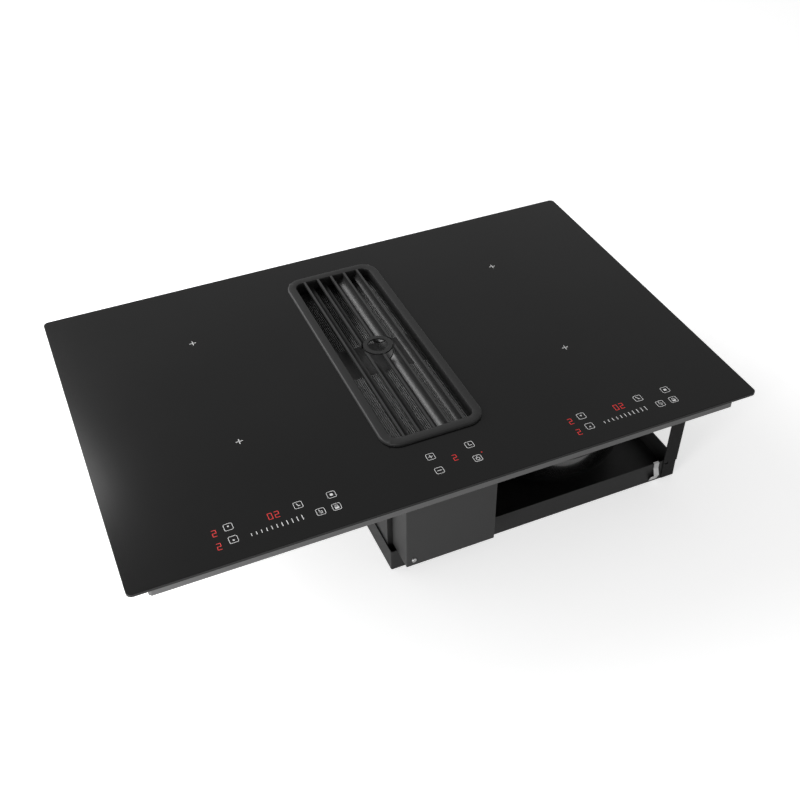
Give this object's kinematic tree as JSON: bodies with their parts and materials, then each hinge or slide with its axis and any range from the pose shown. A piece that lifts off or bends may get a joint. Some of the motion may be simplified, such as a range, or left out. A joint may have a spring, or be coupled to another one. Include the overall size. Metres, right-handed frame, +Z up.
{
  "type": "downdraft induction cooktop",
  "caption": "Flush black glass induction hob with a lift-off slatted intake grille in its middle and a ducted extraction blower hung underneath on a shallow base frame.",
  "frame": {"origin": "under the middle of the glass, on the plane that the base frame stands on", "axes": "+X to the right seen from the user's side, +Y to the back, +Z up"},
  "size_m": [0.8, 0.52, 0.2064],
  "materials": {
    "black_glass": "polished black glass-ceramic",
    "black_rubber": "matte",
    "zinc_steel": "zinc-plated sheet, satin",
    "copper": "enamelled copper wire",
    "grey_plastic": "moulded, matte",
    "ferrite": "sintered ferrite, matte",
    "mica": "pressed mica sheet",
    "aluminium": "mill finish",
    "circuit_board": "coated circuit board",
    "black_plastic": "fine grain, matte",
    "gloss_black_plastic": "gloss",
    "anthracite_metal": "satin powder coat",
    "filter_steel": "dark woven and formed steel",
    "black_steel": "satin black coat"
  },
  "bodies": {
    "housing": {"air_box": "black_plastic", "air_box_window_plate": "black_plastic", "base_frame": "black_steel", "blower_motor": "aluminium", "cable_gland": "black_plastic", "coil_carrier_front_left": "grey_plastic", "coil_carrier_front_right": "grey_plastic", "coil_carrier_rear_left": "grey_plastic", "coil_carrier_rear_right": "grey_plastic", "coil_insulation_left": "mica", "coil_insulation_right": "mica", "coil_plate_left": "aluminium", "coil_plate_right": "aluminium", "coil_winding_front_left": "copper", "coil_winding_front_right": "copper", "coil_winding_rear_left": "copper", "coil_winding_rear_right": "copper", "control_board": "circuit_board", "control_box": "black_steel", "control_box_cover": "black_steel", "cooling_fan_frame_left": "black_plastic", "cooling_fan_frame_right": "black_plastic", "duct_collar": "black_plastic", "electronics_pan_left": "black_plastic", "electronics_pan_right": "black_plastic", "ferrite_bars": "ferrite", "front_right_post": "black_steel", "glass_seal": "black_rubber", "glass_top": "black_glass", "heat_sink_left": "aluminium", "heat_sink_right": "aluminium", "hob_tray": "zinc_steel", "inlet_ring": "black_plastic", "outlet_duct": "black_plastic", "power_board_left": "circuit_board", "power_board_right": "circuit_board", "rear_left_post": "black_steel", "rear_right_post": "black_steel", "spring_clip": "zinc_steel", "suction_hood": "black_plastic", "terminal_block": "grey_plastic", "touch_board_centre": "circuit_board", "touch_board_left": "circuit_board", "touch_board_right": "circuit_board", "touch_carrier": "grey_plastic", "vibration_pads": "black_rubber", "volute_lower": "gloss_black_plastic", "volute_upper": "black_plastic", "worktop_clamps": "zinc_steel"},
    "drip_tray": {"drip_tray": "black_plastic"},
    "filter": {"filter_frame": "filter_steel", "filter_mesh": "filter_steel"},
    "grille": {"grille_frame": "anthracite_metal", "grille_vanes": "anthracite_metal", "grille_ring": "anthracite_metal"},
    "blower_wheel": {"impeller": "black_plastic", "motor_shaft": "zinc_steel"},
    "cooling_fan_left": {"cooling_fan_rotor_left": "black_plastic"},
    "cooling_fan_right": {"cooling_fan_rotor_right": "black_plastic"}
  },
  "joints": [
    {"name": "drip_tray_lift", "type": "slide", "parent": "housing", "child": "drip_tray", "axis": [0, 0, 1], "range_m": [0, 0.25]},
    {"name": "filter_lift", "type": "slide", "parent": "drip_tray", "child": "filter", "axis": [0, 0, 1], "range_m": [0, 0.1]},
    {"name": "grille_lift", "type": "slide", "parent": "filter", "child": "grille", "axis": [0, 0, 1], "range_m": [0, 0.1]},
    {"name": "blower_spin", "type": "hinge", "parent": "housing", "child": "blower_wheel", "pos_m": [0.213, -0.039, 0.06], "axis": [0, 0, 1], "continuous": true},
    {"name": "cooling_fan_left_spin", "type": "hinge", "parent": "housing", "child": "cooling_fan_left", "pos_m": [-0.2245, 0.105, 0.155], "axis": [0, 0, 1], "continuous": true},
    {"name": "cooling_fan_right_spin", "type": "hinge", "parent": "housing", "child": "cooling_fan_right", "pos_m": [0.2245, 0.105, 0.155], "axis": [0, 0, 1], "continuous": true}
  ]
}
